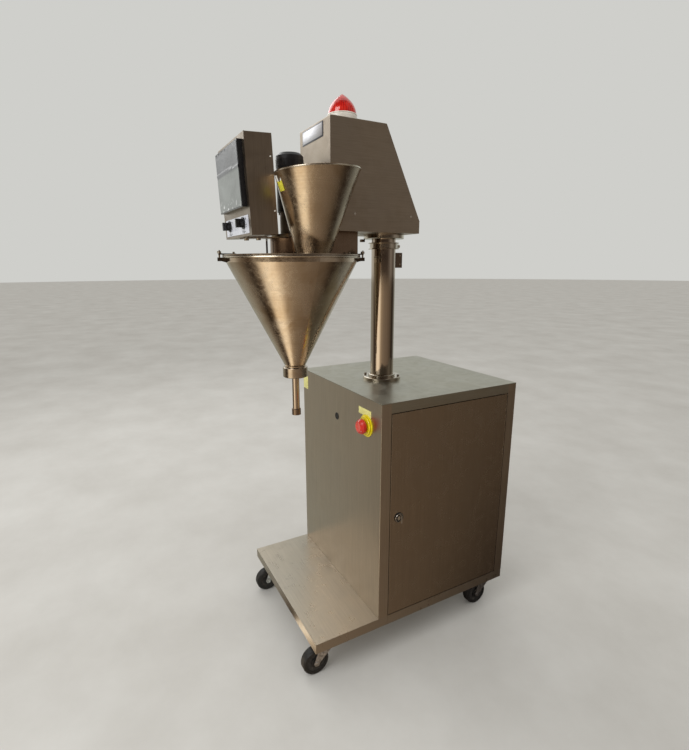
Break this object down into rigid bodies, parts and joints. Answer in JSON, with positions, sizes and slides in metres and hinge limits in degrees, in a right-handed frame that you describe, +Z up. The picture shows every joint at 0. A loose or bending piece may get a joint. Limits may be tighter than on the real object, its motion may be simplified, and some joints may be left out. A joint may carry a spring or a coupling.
{
  "type": "auger powder filler",
  "caption": "Semi-automatic auger powder filler: conical hopper, nozzle and feed funnel under a column-mounted head, on a stainless cabinet with casters.",
  "frame": {"origin": "on the floor under the middle of the machine, X = 0 being the plane through the column, the hopper and the nozzle", "axes": "+Z up, -Y towards the operator at the filling nozzle, +X towards the cabinet door"},
  "size_m": [0.5005, 0.8051, 1.516],
  "materials": {
    "black_motor": "black painted motor body",
    "black_plastic": "black moulded plastic",
    "black_wheel": "hard black rubber tread on a black hub",
    "cast_housing": "machined aluminium housing",
    "red_lens": "red moulded lens",
    "red_plastic": "red moulded push button",
    "screen": "touch screen with a protective film",
    "stainless_polished": "polished stainless",
    "stainless_sheet": "brushed stainless sheet",
    "stainless_turned": "turned stainless",
    "white_plastic": "white moulded base",
    "white_plate": "white enamelled plate",
    "yellow_plastic": "yellow moulded ring",
    "zinc": "bright zinc-plated pressed steel"
  },
  "bodies": {
    "stand": {"base_tray": "stainless_sheet", "base_rails": "stainless_sheet", "caster_plates": "zinc", "front_panel": "stainless_sheet", "rear_panel": "stainless_sheet", "side_panel": "stainless_sheet", "top_panel": "stainless_sheet", "column_guide": "stainless_polished", "guide_bolts": "stainless_turned", "estop_ring": "yellow_plastic", "cable_gland": "black_plastic"},
    "door": {"door": "stainless_sheet", "hinge_pins": "stainless_turned", "lock_barrel": "stainless_turned"},
    "lock_key": {"lock_key": "black_plastic"},
    "estop_button": {"estop_button": "red_plastic"},
    "head": {"column": "stainless_polished", "column_hub": "stainless_polished", "column_collar": "stainless_turned", "collar_screw": "stainless_turned", "column_tab": "stainless_turned", "head_cover": "stainless_sheet", "head_tray": "stainless_sheet", "cover_screws": "stainless_turned", "beacon_base": "white_plastic", "beacon_dome": "red_lens", "drive_housing": "cast_housing", "motor_flange": "cast_housing", "gearbox": "cast_housing", "motor": "black_motor", "hopper": "stainless_sheet", "nozzle": "stainless_turned", "neck_collar": "stainless_polished", "nozzle_cap": "stainless_turned", "hopper_lid": "stainless_polished", "lid_ears": "stainless_turned", "strap_screws": "stainless_turned", "clamp_hooks": "stainless_turned", "feed_funnel": "stainless_sheet", "control_box": "stainless_sheet", "control_face": "stainless_sheet", "switch_plate": "white_plate", "touch_screen": "screen", "control_bracket": "stainless_sheet", "bracket_bolts": "stainless_turned"},
    "auger": {"auger": "stainless_turned"},
    "agitator": {"agitator": "stainless_turned"},
    "clamp_front": {"clamp_bolt_front": "stainless_turned"},
    "clamp_rear": {"clamp_bolt_rear": "stainless_turned"},
    "selector_left": {"selector_left": "black_plastic"},
    "selector_right": {"selector_right": "black_plastic"},
    "fork_front_left": {"caster_fork_front_left": "zinc"},
    "wheel_front_left": {"caster_wheel_front_left": "black_wheel"},
    "fork_front_right": {"caster_fork_front_right": "zinc"},
    "wheel_front_right": {"caster_wheel_front_right": "black_wheel"},
    "fork_rear_left": {"caster_fork_rear_left": "zinc"},
    "wheel_rear_left": {"caster_wheel_rear_left": "black_wheel"},
    "fork_rear_right": {"caster_fork_rear_right": "zinc"},
    "wheel_rear_right": {"caster_wheel_rear_right": "black_wheel"}
  },
  "joints": [
    {"name": "swivel_front_left", "type": "hinge", "parent": "stand", "child": "fork_front_left", "pos_m": [-0.195, -0.231, 0.09], "axis": [0, 0, 1], "continuous": true},
    {"name": "roll_front_left", "type": "hinge", "parent": "fork_front_left", "child": "wheel_front_left", "pos_m": [-0.195, -0.261, 0.0375], "axis": [1, 0, 0], "continuous": true},
    {"name": "swivel_front_right", "type": "hinge", "parent": "stand", "child": "fork_front_right", "pos_m": [0.195, -0.231, 0.09], "axis": [0, 0, 1], "continuous": true},
    {"name": "roll_front_right", "type": "hinge", "parent": "fork_front_right", "child": "wheel_front_right", "pos_m": [0.195, -0.261, 0.0375], "axis": [1, 0, 0], "continuous": true},
    {"name": "swivel_rear_left", "type": "hinge", "parent": "stand", "child": "fork_rear_left", "pos_m": [-0.195, 0.348, 0.09], "axis": [0, 0, 1], "continuous": true},
    {"name": "roll_rear_left", "type": "hinge", "parent": "fork_rear_left", "child": "wheel_rear_left", "pos_m": [-0.195, 0.318, 0.0375], "axis": [1, 0, 0], "continuous": true},
    {"name": "swivel_rear_right", "type": "hinge", "parent": "stand", "child": "fork_rear_right", "pos_m": [0.195, 0.348, 0.09], "axis": [0, 0, 1], "continuous": true},
    {"name": "roll_rear_right", "type": "hinge", "parent": "fork_rear_right", "child": "wheel_rear_right", "pos_m": [0.195, 0.318, 0.0375], "axis": [1, 0, 0], "continuous": true},
    {"name": "door_hinge", "type": "hinge", "parent": "stand", "child": "door", "pos_m": [0.2372, 0.347, 0.425], "axis": [0, 0, 1], "range_deg": [0, 105]},
    {"name": "lock_turn", "type": "hinge", "parent": "door", "child": "lock_key", "pos_m": [0.242, -0.026, 0.425], "axis": [1, 0, 0], "range_deg": [0, 90]},
    {"name": "estop_push", "type": "slide", "parent": "stand", "child": "estop_button", "axis": [0, 1, 0], "range_m": [0, 0.005], "stiffness_N_per_m": 1500},
    {"name": "head_lift", "type": "slide", "parent": "stand", "child": "head", "axis": [0, 0, 1], "range_m": [-0.15, 0.15]},
    {"name": "auger_spin", "type": "hinge", "parent": "head", "child": "auger", "pos_m": [0, -0.215, 1], "axis": [0, 0, 1], "continuous": true},
    {"name": "agitator_spin", "type": "hinge", "parent": "head", "child": "agitator", "pos_m": [0, -0.215, 1.09], "axis": [0, 0, 1], "continuous": true},
    {"name": "clamp_swing_front", "type": "hinge", "parent": "head", "child": "clamp_front", "pos_m": [-0.03213, -0.39719, 1.103], "axis": [0.9848, -0.1736, 0], "range_deg": [0, 100]},
    {"name": "clamp_swing_rear", "type": "hinge", "parent": "head", "child": "clamp_rear", "pos_m": [0.07818, -0.04733, 1.103], "axis": [-0.9063, 0.4226, 0], "range_deg": [0, 100]},
    {"name": "selector_turn_left", "type": "hinge", "parent": "head", "child": "selector_left", "pos_m": [-0.058, -0.35729, 1.18368], "axis": [0, -0.999, -0.0436], "range_deg": [0, 90]},
    {"name": "selector_turn_right", "type": "hinge", "parent": "head", "child": "selector_right", "pos_m": [0.058, -0.35729, 1.18368], "axis": [0, -0.999, -0.0436], "range_deg": [0, 90]}
  ]
}
